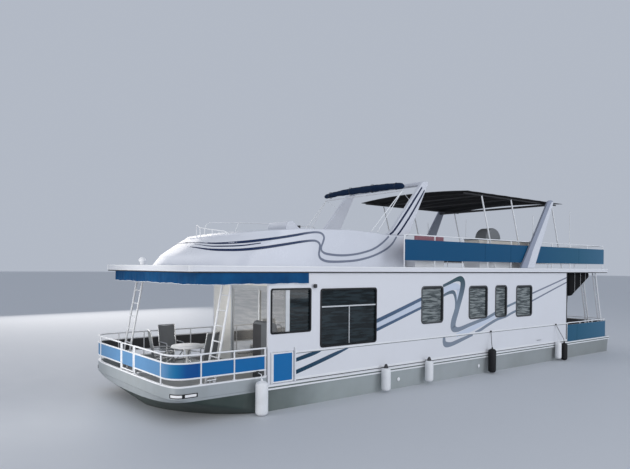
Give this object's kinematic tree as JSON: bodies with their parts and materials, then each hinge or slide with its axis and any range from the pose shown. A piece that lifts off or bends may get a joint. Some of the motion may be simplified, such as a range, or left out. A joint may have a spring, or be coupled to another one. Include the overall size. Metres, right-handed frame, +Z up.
{
  "type": "houseboat",
  "caption": "Houseboat with an aluminium hull, panelled rails, a long cabin, a roof deck with a raised bridge, two raked arches and a flat canopy, twin stern drives.",
  "frame": {"origin": "at the waterline, on the centreline, halfway along the hull", "axes": "+X towards the bow, +Y to port, +Z up"},
  "size_m": [19.746, 5.2763, 6.6],
  "materials": {
    "hull_metal": "brushed, weathered",
    "white_paint": "satin",
    "white_gelcoat": "gloss gelcoat",
    "blue_panel": "satin",
    "blue_cloth": "woven acrylic",
    "navy_cloth": "woven acrylic",
    "black_cloth": "woven acrylic",
    "bright_tube": "anodised",
    "tinted_glass": "tinted",
    "door_frame": "anodised",
    "engine_paint": "painted",
    "deck_lid": "non-slip",
    "console_plastic": "matte",
    "black_plastic": "matte",
    "table_plastic": "satin",
    "sling_cloth": "woven mesh",
    "white_vinyl": "satin vinyl",
    "black_rubber": "matte",
    "drive_paint": "gloss",
    "propeller_metal": "brushed",
    "maroon_vinyl": "leathercloth",
    "beige_laminate": "satin laminate"
  },
  "bodies": {
    "boat": {"hull": "hull_metal", "engines": "engine_paint", "rub_rail": "white_paint", "bow_bulwark": "hull_metal", "cabin_wall_port": "white_paint", "cabin_wall_starboard": "white_paint", "saloon_pane_port": "tinted_glass", "saloon_pane_starboard": "tinted_glass", "wing_pane": "tinted_glass", "front_bulkhead": "white_paint", "aft_bulkhead": "white_paint", "front_door_fixed": "door_frame", "roof": "white_paint", "valance": "blue_cloth", "cowl": "white_gelcoat", "bridge_seats": "white_gelcoat", "bridge_rail_port": "white_paint", "bridge_rail_starboard": "white_paint", "forward_arch": "white_paint", "aft_arch": "white_paint", "bimini_boot": "navy_cloth", "bimini_frame": "bright_tube", "canopy": "black_cloth", "canopy_frame": "bright_tube", "bow_rail_port": "white_paint", "bow_rail_starboard": "white_paint", "upper_rail": "white_paint", "stern_rail": "white_paint", "bow_ladder_port": "white_paint", "bow_ladder_starboard": "white_paint", "stern_ladder_port": "white_paint", "stern_ladder_starboard": "white_paint", "stern_ladder_inner": "white_paint", "stern_stair": "white_paint", "roof_bench": "maroon_vinyl", "roof_bar": "beige_laminate", "stowed_awning": "black_cloth", "helm_console": "console_plastic", "table": "table_plastic", "chair_1": "sling_cloth", "chair_2": "sling_cloth", "chair_3": "sling_cloth", "fender_1": "white_vinyl", "fender_2": "white_vinyl", "fender_3": "white_vinyl", "fender_4": "black_rubber", "fender_5": "white_vinyl", "fender_6": "black_rubber"},
    "front_door": {"front_door_slider": "door_frame"},
    "aft_door": {"aft_door": "white_paint"},
    "front_gate": {"front_gate": "white_paint"},
    "side_gate": {"side_gate": "blue_panel"},
    "engine_hatch": {"engine_hatch": "deck_lid"},
    "helm_wheel": {"helm_wheel": "black_plastic"},
    "drive_port": {"drive_port": "drive_paint"},
    "drive_starboard": {"drive_starboard": "drive_paint"},
    "propeller_port": {"propeller_port": "propeller_metal"},
    "propeller_starboard": {"propeller_starboard": "propeller_metal"}
  },
  "joints": [
    {"name": "front_door_slide", "type": "slide", "parent": "boat", "child": "front_door", "axis": [0, -1, 0], "range_m": [0, 1.25]},
    {"name": "aft_door_hinge", "type": "hinge", "parent": "boat", "child": "aft_door", "pos_m": [-6.24, 0.612, 1.62], "axis": [0, 0, 1], "range_deg": [-95, 0]},
    {"name": "front_gate_hinge", "type": "hinge", "parent": "boat", "child": "front_gate", "pos_m": [9.51, 0.38, 1.15], "axis": [0, 0, 1], "range_deg": [-90, 0]},
    {"name": "side_gate_hinge", "type": "hinge", "parent": "boat", "child": "side_gate", "pos_m": [6.438, 2.436, 1], "axis": [0, 0, 1], "range_deg": [0, 95]},
    {"name": "engine_hatch_hinge", "type": "hinge", "parent": "boat", "child": "engine_hatch", "pos_m": [-7.663, 0, 0.552], "axis": [0, 1, 0], "range_deg": [0, 80]},
    {"name": "helm_wheel_turn", "type": "hinge", "parent": "boat", "child": "helm_wheel", "pos_m": [6.5, 1.83, 1.7], "axis": [0.9659, 0, 0.2588], "range_deg": [-540, 540]},
    {"name": "drive_port_steer", "type": "hinge", "parent": "boat", "child": "drive_port", "pos_m": [-9.7, 0.62, 0], "axis": [0, 0, 1], "range_deg": [-25, 25]},
    {"name": "drive_starboard_steer", "type": "hinge", "parent": "boat", "child": "drive_starboard", "pos_m": [-9.7, -0.62, 0], "axis": [0, 0, 1], "range_deg": [-25, 25]},
    {"name": "propeller_port_spin", "type": "hinge", "parent": "drive_port", "child": "propeller_port", "pos_m": [-10.136, 0.62, -0.44], "axis": [1, 0, 0], "continuous": true},
    {"name": "propeller_starboard_spin", "type": "hinge", "parent": "drive_starboard", "child": "propeller_starboard", "pos_m": [-10.136, -0.62, -0.44], "axis": [1, 0, 0], "continuous": true}
  ],
  "couplings": [
    {"joint": "drive_starboard_steer", "follows": "drive_port_steer", "ratio": 1}
  ]
}
